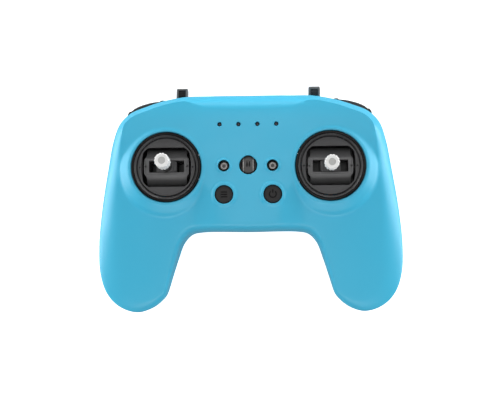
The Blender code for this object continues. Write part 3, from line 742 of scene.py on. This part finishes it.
# --- Stick units ---
GROOVE_R = PLATE_R + 0.3
KNURLS = 180
KNURL_DEPTH = 0.07
TAPER_STEPS = 7
BOW_STEPS = 12
BARREL_R = 10.35
BARREL_HALF = 11.3
BARREL_SHOULDER = 10.1
BARREL_FLAT = 9.45
SLOT = (17.9, 6.1)
DOT_AT, DOT_R = 13.45, 0.38     # dot at each end of the face plate
PIN_LENGTH = 14.2               # from the middle of the barrel to the end of its pin
CARRIAGE_R = 10.2
ARC_STEPS = 24
THROTTLE_TILT = {"left": (-3, 0, 0), "right": (0, 0, 0)}
THREAD_PITCH = 0.5
KNOB_R = 3.65
KNOB_Z = (20, 31)
KNOB_BORE = 1.75
KNOB_LOBES = 14
KNOB_FILLET = 0.15


def make_ring(side):
    """Glossy outer lip and the knurled taper inside it."""
    x, y, low, top = STICK[side].x, STICK[side].y, RING_LOW.z, RING_HIGH.z
    inner = RING_R - 1.35
    lip = fillet_profile([(RING_R - 0.6, low), (RING_R, low + 0.05), (RING_R, top),
                          (RING_R - 0.95, top), (inner, top - 0.5), (inner, low)], 0.4, 5)
    obj = transform(turned(side + "_ring_lip", lip, 160, closed=True), (x, y, 0))
    finish_piece(obj, GLOSS, "black_plastic", side + "_trim_ring")

    start, end = Vector((GROOVE_R + 0.1, top - 1.75)), Vector((RING_R - 1.15, top - 0.38))
    taper = [tuple(start.lerp(end, k / TAPER_STEPS)) for k in range(TAPER_STEPS + 1)]
    profile = [(GROOVE_R, low), (GROOVE_R, top - 2)] + taper + [(end.x, low)]

    def knurl(angle, number):
        if not 2 < number < TAPER_STEPS + 2:
            return 0
        return KNURL_DEPTH * math.sin(KNURLS * angle + 0.9 * number)

    obj = transform(turned(side + "_ring_knurl", profile, KNURLS * 6, closed=True, wobble=knurl),
                    (x, y, 0))
    finish_piece(obj, KNURL, "black_plastic", side + "_trim_ring", angle=55)


def plate_opening():
    """Opening with cut corners and slightly bowed sides."""
    x, y, cut, bow = 11.75, 9.9, 2.5, 0.85
    right = []
    for k in range(BOW_STEPS + 1):
        t = -1 + 2 * k / BOW_STEPS
        right.append((x + bow * (1 - t * t), t * (y - cut)))
    top = [(x - cut * 0.45, y - cut * 0.45), (x - cut, y - 0.12), (x - cut - 0.5, y)]
    half = right + top + [(-px, py) for px, py in reversed(top)]
    return half + [(-px, -py) for px, py in half]


def make_plate(side):
    low, high = PLATE_LOW.z, PLATE_HIGH.z
    holes = [plate_opening()] + [circle(sign * DOT_AT, 0, DOT_R, 14) for sign in (-1, 1)]
    obj = prism(side + "_plate", circle(0, 0, PLATE_R, 128), low, high, 0.22, holes)
    transform(obj, (STICK[side].x, STICK[side].y, 0))
    finish_piece(obj, PLATE, "grey_plastic", side + "_face_plate")


def make_barrel(side):
    """Drum with a flat round the stick slot, rimmed ends and a pin hole in each end rim."""
    r, half, tip = BARREL_R, BARREL_HALF, PIN_LENGTH
    profile = [(0, -tip), (1.5, -tip), (1.5, -half), (r, -half), (r, half), (1.5, half), (1.5, tip),
               (0, tip)]
    obj = transform(turned(side + "_drum", profile, 120), rotation=(0, 90, 0))
    side_x = BARREL_SHOULDER
    plan = [(tip + 1, 1.75), (half, 1.75), (half, 3.5), (half - 0.3, 4.1), (side_x + 0.3, 4.95),
            (side_x, 5.5), (side_x, r + 1)]
    plan = plan + [(-px, py) for px, py in reversed(plan)]
    plan = plan + [(-px, -py) for px, py in plan]
    boolean(obj, [prism("envelope", plan, -4, r + 1)], "INTERSECT")
    tools = [block("flat", (2 * half - 1.1, 8.3, 4), (0, 0, BARREL_FLAT + 2), 0.25),
             block("slot", (*SLOT, 40), (0, 0, 3), 0.35)]
    pin_hole = [(0, 0), (0.55, 0), (0.55, 3), (0, 3)]
    tools += [transform(turned("pin_hole", pin_hole, 20),
                        (sign * (half - 0.75), 0, BARREL_FLAT - 1.6)) for sign in (-1, 1)]
    boolean(obj, tools)
    soften(obj, 0.14)
    transform(obj, STICK[side], THROTTLE_TILT[side])
    finish_piece(obj, DRUM, "grey_plastic", side + "_barrel", body=side + "_yoke", angle=28)


def make_stick(side):
    """Carriage, its hub, the threaded shaft and the scalloped knob in two halves."""

    def finish(obj, material, slot, node):
        transform(obj, STICK[side], THROTTLE_TILT[side])
        finish_piece(obj, material, slot, side + node, body=side + "_stick")

    r, half = CARRIAGE_R, 5.05
    top = math.asin(half / r)
    turns = [top - 2 * top * k / ARC_STEPS for k in range(ARC_STEPS + 1)]
    arc = [(r * math.sin(a), r * math.cos(a)) for a in turns]
    outline = arc + [(-half, -2.5), (-1.6, -4), (-1.6, -9), (1.6, -9), (1.6, -4), (half, -2.5)]
    obj = prism(side + "_slider", outline, -2.8, 2.8, 0.35)
    transform(obj, rotation=(90, 0, 0))
    grooves = [block("groove", (0.35, 8, 2), (sign * 3.6, 0, r), 0.08) for sign in (-1, 1)]
    boolean(obj, grooves)
    finish(obj, CARRIAGE, "black_plastic", "_carriage")

    hub = fillet_profile([(1.55, 9.4), (2.75, 9.4), (2.75, 11.6), (2.1, 12.4), (1.55, 12.4)], 0.3)
    finish(turned(side + "_hub", hub, 48, closed=True), BLACK, "black_plastic", "_carriage")

    low, high = KNOB_Z
    start = 12.6
    thread = [(0, 10.5), (1.45, 10.5), (1.45, start)]
    for k in range(int((high - 0.5 - start) / THREAD_PITCH)):
        z = start + THREAD_PITCH * k
        thread += [(1.5, z + 0.15), (1.36, z + 0.4)]
    thread += [(1.3, high - 0.35), (0.9, high - 0.25), (0, high - 0.25)]
    finish(turned(side + "_shaft", thread, 28), SHAFT, "steel", "_stick_shaft")

    upper = [(KNOB_BORE, high - 4.9), (KNOB_BORE, high - 0.1), (KNOB_R - 0.9, high),
             (KNOB_R - 0.35, high), (KNOB_R, high - 0.35), (KNOB_R, high - 4.6),
             (KNOB_R - 0.3, high - 4.9)]
    lower = [(KNOB_BORE, low), (2.8, low), (3, low + 0.3), (KNOB_R, low + 3), (KNOB_R, high - 5.4),
             (KNOB_R - 0.3, high - 5.1), (KNOB_BORE, high - 5.1)]
    for label, corners in (("top", upper), ("base", lower)):
        profile = fillet_ring(corners)
        obj = turned(f"{side}_knob_{label}", profile, KNOB_LOBES * 12, closed=True,
                     wobble=lambda angle, number: knob_wave(angle, profile[number][0]))
        finish(obj, KNOB, "white_plastic", "_stick_knob")
    cap = fillet_profile([(0, high - 1), (KNOB_BORE + 0.01, high - 1),
                          (KNOB_BORE - 0.01, high - 0.14), (0, high - 0.12)], KNOB_FILLET)
    finish(turned(side + "_knob_plug", cap, 32), HUB, "white_plastic", "_stick_knob")


def fillet_ring(corners):
    """Round every corner of a closed (radius, z) profile."""
    return fillet_profile([corners[-1], *corners, corners[0]], KNOB_FILLET, 3)[1:-1]


def knob_wave(angle, radius):
    """Scallops, only where the profile is near the knob's full radius."""
    depth = 0.38 * ramp((radius - KNOB_R + 1.1) / 0.9)
    return depth * (abs(math.cos(KNOB_LOBES * angle / 2)) ** 0.7 - 1)


# --- Face buttons, screws, strap eye and lights ---
PAN_STEPS = 8
SIGN_LINE = 0.55                # width of the lines of the button signs


def bar(name, size, place):
    return block(name, size, place, 0.12, 2)


def make_button(name, icon):
    """Silicone cap with a soft rim and an engraved sign, whose grooves hold a black inlay that is painted shade.
    """
    r, top, centre = BUTTON_R, BUTTON_TOP, BUTTON[name]
    profile = [(0, top - 4.7), (6, top - 4.7), (6, top - 3.6), (r, top - 3.6), (r, top - 1.2)]
    for angle in quarter(PAN_STEPS):
        profile.append((r - 1 + math.cos(angle), top - 0.95 + 0.8 * math.sin(angle)))
    profile += [(r * 0.55, top - 0.05), (0, top)]
    obj = turned(name + "_cap", profile, 96)
    boolean(obj, icon(top, 1.4, 0))
    transform(obj, (centre.x, centre.y, 0))
    body = name.replace("button", "cap")
    finish_piece(obj, RUBBER, "dark_rubber", name, body=body, angle=28)
    # Black inlay in the engraved grooves, a little below the top: painted shade of the engraving.
    first, *others = icon(top - 0.45, 0.44, -0.03)
    sign = boolean(first, others, "UNION")
    sign.name = name + "_sign_shade_inlay"
    transform(sign, (centre.x, centre.y, 0))
    finish_piece(sign, SHADE_BLACK, "dark_rubber", name, body=body, angle=28)


def menu_icon(middle, height, grow):
    """Three bars."""
    size = (3.4 + 2 * grow, SIGN_LINE + 2 * grow, height)
    return [bar("bar", size, (0, y, middle)) for y in (-1.2, 0, 1.2)]


def power_icon(middle, height, grow):
    """Broken ring with a stroke through the gap."""
    inner, outer, gap, steps = 1.4 - grow, 2 + grow, math.radians(38) - grow / 2, 40
    low, high = middle - height / 2, middle + height / 2
    rings = []
    for k in range(steps + 1):
        angle = math.pi / 2 + gap + (2 * math.pi - 2 * gap) * k / steps
        c, s = math.cos(angle), math.sin(angle)
        rings.append([(inner * c, inner * s, low), (outer * c, outer * s, low),
                      (outer * c, outer * s, high), (inner * c, inner * s, high)])
    stroke = bar("stroke", (SIGN_LINE + 2 * grow, 1.9 + 2 * grow, height), (0, 1.5, middle))
    return [loft("ring", rings), stroke]


STAR_LOBES = 6
STAR_STEPS = STAR_LOBES * 8


def star(name, outer, inner, low, high):
    """Prism with a star plan."""
    plan = []
    for k in range(STAR_STEPS):
        angle = 2 * math.pi * k / STAR_STEPS
        r = inner + (outer - inner) * (0.5 + 0.5 * math.cos(STAR_LOBES * angle))
        plan.append((r * math.cos(angle), r * math.sin(angle)))
    return loft(name, [[(x, y, z) for x, y in plan] for z in (low, high)])


def cross(depth, arm):
    """Two tapered arms, crossed."""
    half_x, half_y = arm * 0.55, arm * 0.13
    low = [(-half_x, -half_y, -depth), (half_x, -half_y, -depth), (half_x, half_y, -depth),
           (-half_x, half_y, -depth)]
    high = [(x * 1.8, y * 1.5, 0.3) for x, y, _ in low]
    return [transform(loft("arm", [low, high]), rotation=(0, 0, turn)) for turn in (0, 90)]


def screw_head(name, radius, height, tools):
    """Pan head about the origin, its top at z = 0, with a recess cut by the tools."""
    crown = height * 0.55
    profile = [(0, -height - 1.5), (radius * 0.45, -height - 1.5), (radius * 0.45, -height),
               (radius, -height), (radius, -crown)]
    for angle in quarter(PAN_STEPS, 1):
        profile.append((radius * (0.72 + 0.28 * math.cos(angle)), -crown * (1 - math.sin(angle))))
    profile += [(radius * 0.55, 0), (0, 0)]
    return boolean(turned(name, profile, 64), tools)


FACE_SCREW_TURN = {"left": (0, 0, 24), "right": (0, 0, 41)}


def make_front_screw(side):
    """Star-head screw, a dark grey star deep in its recess as painted shade, and a black lining round its hole as
    painted shade of the counterbore.
    """
    node = side + "_front_screw"
    centre, top, turn = FRONT_SCREW[side], node_box(node)[1].z, FACE_SCREW_TURN[side]
    head = screw_head(side + "_face_screw", 2.1, 1.5, [star("recess", 1.16, 0.76, -0.9, 0.3)])
    transform(head, (centre.x, centre.y, top), turn)
    finish_piece(head, STEEL, "steel", node, angle=28)
    # Dark grey star under the recess: painted shade in the recess.
    bottom = star(side + "_face_screw_shade_star", 1.13, 0.73, -1, -0.5)
    transform(bottom, (centre.x, centre.y, top), turn)
    finish_piece(bottom, RECESS_SHADE, "steel", node, angle=28)
    # Black lining of the hole round the head: painted shade of the counterbore.
    outer, rim = SCREW_HOLE_R - 0.04, FACE_Z + 0.35
    wall = [(2.55, top - 1), (outer, top - 1), (outer, rim), (2.7, rim)]
    shade_lining = turned(side + "_face_screw_shade_lining", wall, 64, closed=True)
    transform(shade_lining, (centre.x, centre.y, 0))
    finish_piece(shade_lining, SHADE_BLACK, "black_plastic", node, angle=28)


# Profile of the strap cup: how far inside its outline, and height.
CUP_PROFILE = [(0.1, 31), (0.1, 37.2), (0.3, 37.5), (0.42, 37.5), (0.55, 37.2), (0.6, 31.9)]
RAIL_TOP = 36.7
CHANNEL_TOP = RAIL_TOP - 0.5
EYE_STEPS = 24


def make_strap_eye():
    """Cup with a flange behind the face, and a channelled bar with two eyes across it; the bar is one grey part,
    its rails a light grey as painted highlight and its channel a dark grey as painted shade.
    """
    middle = STRAP.xy
    outer = [Vector(p) - middle for p in strap_loop(-0.3)]
    obj = loft("strap_eye_cup", [[(*(middle + away * (1 - inset / away.length)), z) for away in outer]
                                 for inset, z in CUP_PROFILE])
    finish_piece(obj, BLACK, "black_plastic", "strap_cup")

    x, y = STRAP.x, STRAP.y
    channel = block("strap_eye_bar", (4.6, 8.5, 3), (x, y, CHANNEL_TOP - 1.5), 0.25)
    eyes = []
    for sign in (-1, 1):
        plan = []
        for k in range(EYE_STEPS):
            angle = 2 * math.pi * k / EYE_STEPS
            point = max(0, math.sin(angle))
            plan.append((x + sign * 0.62 + 0.5 * math.cos(angle) * (1 - 0.35 * point),
                         y + 0.35 + 1.1 * math.sin(angle) + 1.1 * point ** 4))
        levels = (CHANNEL_TOP - 3.5, CHANNEL_TOP + 1)
        eyes.append(loft("eye", [[(*p, z) for p in plan] for z in levels]))
    boolean(channel, eyes)
    soften(channel, 0.06)
    # The channel's dark grey is painted shade.
    finish_piece(channel, EYE_SHADED, "grey_plastic", "strap_bar", angle=30)
    for sign, label in ((-1, "left"), (1, "right")):
        place = (x + sign * 2.5, y, RAIL_TOP - 1.6)
        # The rails' light grey is painted highlight.
        rail = block(f"strap_eye_lit_rail_{label}", (0.6, 8, 3.2), place, 0.18)
        finish_piece(rail, RAIL_LIT, "grey_plastic", "strap_bar", angle=30)


def make_light(number, centre):
    low, high = node_box(f"led_pipe_{number}")
    profile = [(0, low.z), (LED_R, low.z), (LED_R, high.z - 0.7), (LED_R * 0.93, high.z - 0.4),
               (LED_R * 0.75, high.z - 0.2), (LED_R * 0.4, high.z - 0.05), (0, high.z)]
    obj = transform(turned(f"light_{number}", profile, 32), (centre.x, centre.y, 0))
    finish_piece(obj, LENS, "clear_plastic", f"led_pipe_{number}")


# --- Toggles, shoulder buttons, socket and back ---
TOGGLE_TILT = 14
LEVER_HALF = 1.9                # half of the lever's thickness, with its play
GRIP_RIBS = 5
CONTACTS = 7
THUMB_GROOVES = 5


def make_toggle(side, sign):
    """Bevelled lever with a sunk, ribbed grip on each face."""
    name, pivot = side + "_toggle", joint_place(side + "_toggle_tilt")
    node, tilt, bend = name + "_lever", (sign * TOGGLE_TILT, 0, 0), math.radians(TOGGLE_TILT)
    reach = (node_box(node)[1].y - pivot.y - LEVER_HALF * math.sin(bend)) / math.cos(bend) - 0.05
    lever = block(name + "_arm", (6.2, reach, 3.7), (0, reach / 2, 0), 0.7, 4)
    well = reach - 4.2
    middle = reach - 1.1 - well / 2
    boolean(lever, [block("well", (3.9, well, 1.2), (0, middle, face * 1.95), 0.2)
                    for face in (-1, 1)])
    soften(lever, 0.08)
    finish_piece(transform(lever, pivot, tilt), LEVER, "grey_plastic", node, body=name, angle=30)
    for face, label in ((-1, "back"), (1, "front")):
        grip = block(f"{name}_grip_{label}", (3.7, well - 0.2, 0.8), (0, middle, face * 1.2), 0.15)
        ribs = []
        for k in range(GRIP_RIBS):
            y = reach - 1.5 - (reach - 5) * k / (GRIP_RIBS - 1)
            ribs.append(block("rib", (3.5, 0.32, 0.5), (0, y, face * 1.65), 0.1))
        boolean(grip, ribs, "UNION")
        finish_piece(transform(grip, pivot, tilt), BLACK, "grey_plastic", node, body=name, angle=30)


def make_bumper(side, sign):
    obj = bumper_solid(side + "_shoulder_button", side, sign, 0, 0.8)
    finish_piece(obj, SHOULDER, "black_plastic", side + "_bumper", body=side + "_shoulder", angle=40)


def make_socket():
    """Charging socket: rounded metal shell with a contact tongue."""
    low, high = node_box("usb_socket")
    centre = (low + high) / 2
    rings = []
    for shrink, y in ((0, high.y), (0, low.y + 0.15), (0.15, low.y), (0.3, low.y),
                      (0.4, low.y + 0.15), (0.4, high.y - 1.5)):
        loop = rounded_rect(centre.x, centre.z, 4.45 - shrink, 1.6 - shrink, 1.5 - shrink, 8)
        rings.append([(px, y, pz) for px, pz in loop])
    obj = loft("charge_socket", rings)
    finish_piece(obj, SOCKET, "steel", "usb_socket")
    tongue = block("charge_tongue", (6.2, 5, 0.7), (centre.x, centre.y + 0.2, centre.z), 0.12)
    row = [(centre.x - 2.4 + 0.8 * k, centre.y - 0.1, centre.z) for k in range(CONTACTS)]
    boolean(tongue, [block("contact", (0.28, 3.6, 0.9), place, 0.05) for place in row], "UNION")
    finish_piece(tongue, BLACK, "black_plastic", "usb_socket")


def place_back_screw(head, node, turn):
    """Turn a screw head to face the back, at the place of its node."""
    place = node_centre(node)
    transform(head, (place.x, place.y, node_box(node)[0].z), (180, 0, turn))
    finish_piece(head, STEEL, "steel", node, angle=28)


def make_door():
    """Battery door with softened rim, screw wells and a row of thumb grooves."""
    low, high = DOOR_LOW, DOOR_HIGH
    centre, half = (low + high) / 2, (high - low) / 2
    screws = [side + "_door_screw" for side in SIDES]
    holes = [circle(*node_centre(node).xy, 1.7, 32) for node in screws]
    plan = rounded_rect(centre.x, centre.y, half.x, half.y, 2.2, 8)
    obj = prism("battery_hatch", plan, low.z, high.z, 0.35, holes)
    tools = []
    for k in range(THUMB_GROOVES):
        place = (centre.x, low.y + 4 + 1.9 * k, low.z)
        tools.append(block("groove", (18 - 1.6 * k, 0.9, 1.2), place, 0.4))
    boolean(obj, tools)
    finish_piece(obj, DOOR, "blue_shell", "battery_door", angle=30)
    for node in screws:
        head = screw_head(node.replace("door", "hatch"), 1.4, 1.1, cross(0.6, 1.5))
        place_back_screw(head, node, 0)


def make_back_screws():
    for side in SIDES:
        for level, turn in (("upper", 17), ("lower", 52)):
            node = f"{side}_{level}_case_screw"
            head = screw_head(f"{side}_{level}_back_screw", 2.4, 1.6, cross(0.9, 2.3))
            place_back_screw(head, node, turn)


# --- Assembly ---
def dress_cad_nodes():
    """Procedural materials for the CAD nodes that stay: the works inside the case."""
    for part in frame["record"]["subparts"]:
        obj = frame["nodes"][part["node"]]
        if not obj.hide_render:
            obj.data.materials.clear()
            obj.data.materials.append(SLOT_MATERIAL[part["material_slot"]])


finish_piece(front_shell(), SHELL, "blue_shell", "front_shell", angle=40)
finish_piece(back_shell(), SHELL, "blue_shell", "back_shell", angle=40)
for side, sign in SIDES.items():
    make_ring(side)
    make_plate(side)
    make_barrel(side)
    make_stick(side)
    make_front_screw(side)
    make_toggle(side, sign)
    make_bumper(side, sign)
make_button("menu_button", menu_icon)
make_button("power_button", power_icon)
make_strap_eye()
for number, centre in enumerate(LEDS, 1):
    make_light(number, centre)
make_socket()
make_door()
make_back_screws()
dress_cad_nodes()

# --- Stage ---
bpy.context.scene.view_settings.view_transform = "Standard"
FLOOR_HALF = 3
FLOOR_GLOW = 0.8
STUDIO_GLOW = 0.3


def make_stage():
    """White floor that only the camera sees, and an even white surround."""
    bm = bmesh.new()
    bmesh.ops.create_grid(bm, x_segments=1, y_segments=1, size=FLOOR_HALF)
    floor = link("floor", mesh_from(bm))
    n = Nodes("floor_white", (0.9, 0.9, 0.9), 0.9)
    n.shader.inputs["Emission Color"].default_value = (1, 1, 1, 1)
    n.shader.inputs["Emission Strength"].default_value = FLOOR_GLOW
    floor.data.materials.append(n.material)
    floor.visible_diffuse = False
    floor.visible_glossy = False
    floor.visible_shadow = False
    world = bpy.data.worlds.new("studio")
    bpy.context.scene.world = world
    world.use_nodes = True
    background = world.node_tree.nodes["Background"].inputs
    background["Color"].default_value = (1, 1, 1, 1)
    background["Strength"].default_value = STUDIO_GLOW


def soft_box(name, place, target, size, power):
    """Area light in metres and watts."""
    light = bpy.data.lights.new(name, "AREA")
    light.shape = "RECTANGLE"
    light.size, light.size_y = size
    light.energy = power
    obj = bpy.data.objects.new(name, light)
    obj.location = place
    obj.rotation_euler = (Vector(target) - Vector(place)).to_track_quat("-Z", "Y").to_euler()
    bpy.context.scene.collection.objects.link(obj)


CAMERA_DISTANCE = 0.54
CAMERA_YAW = 2                # degrees to the right of straight on
CAMERA_PITCH = -3.4             # below straight on
CAMERA_ROLL = -0.45
CAMERA_AIM = (0.13, -0.3)       # millimetres at the height of the parting line
VIEW_WIDTH = 260


def make_camera():
    """Looks at the face from a little to the right and below."""
    yaw, pitch = math.radians(CAMERA_YAW), math.radians(CAMERA_PITCH)
    middle = Vector((*CAMERA_AIM, SEAM_Z)) * MM
    away = Vector((math.sin(yaw), math.sin(pitch), math.cos(yaw) * math.cos(pitch))).normalized()
    right = Vector((0, 1, 0)).cross(away).normalized()
    up = away.cross(right)
    turn = Matrix.Rotation(math.radians(CAMERA_ROLL), 3, away)
    right, up = turn @ right, turn @ up
    data = bpy.data.cameras.new("camera")
    data.sensor_width = 36
    data.lens = 36 * CAMERA_DISTANCE / (VIEW_WIDTH * MM)
    data.clip_start, data.clip_end = 0.05, 10
    camera = bpy.data.objects.new("camera", data)
    camera.matrix_world = (Matrix.Translation(middle + away * CAMERA_DISTANCE)
                           @ Matrix((right, up, away)).transposed().to_4x4())
    bpy.context.scene.collection.objects.link(camera)
    bpy.context.scene.camera = camera


make_stage()
make_camera()
for name, sign in SIDES.items():
    soft_box(name + "_strip", (sign * 0.60, 0.05, -0.02), (sign * 0.03, 0, 0.03), (0.5, 0.6), 3.2)
    soft_box(name + "_box", (sign * 0.70, 0.25, 0.60), (0, 0, 0.02), (0.5, 0.7), 0.9)
    soft_box(name + "_corner", (sign * 0.45, 0.62, 0.05), (sign * 0.04, 0.03, 0.03), (0.4, 0.4), 3.3)
soft_box("front_box", (0, -0.05, 0.80), (0, 0, 0.03), (0.2, 0.8), 1.3)
soft_box("top_strip", (0, 0.62, 0.12), (0, 0, 0.02), (0.8, 0.25), 0.9)
soft_box("low_fill", (0, -0.60, 0.35), (0, 0, 0.03), (0.8, 0.3), 2)
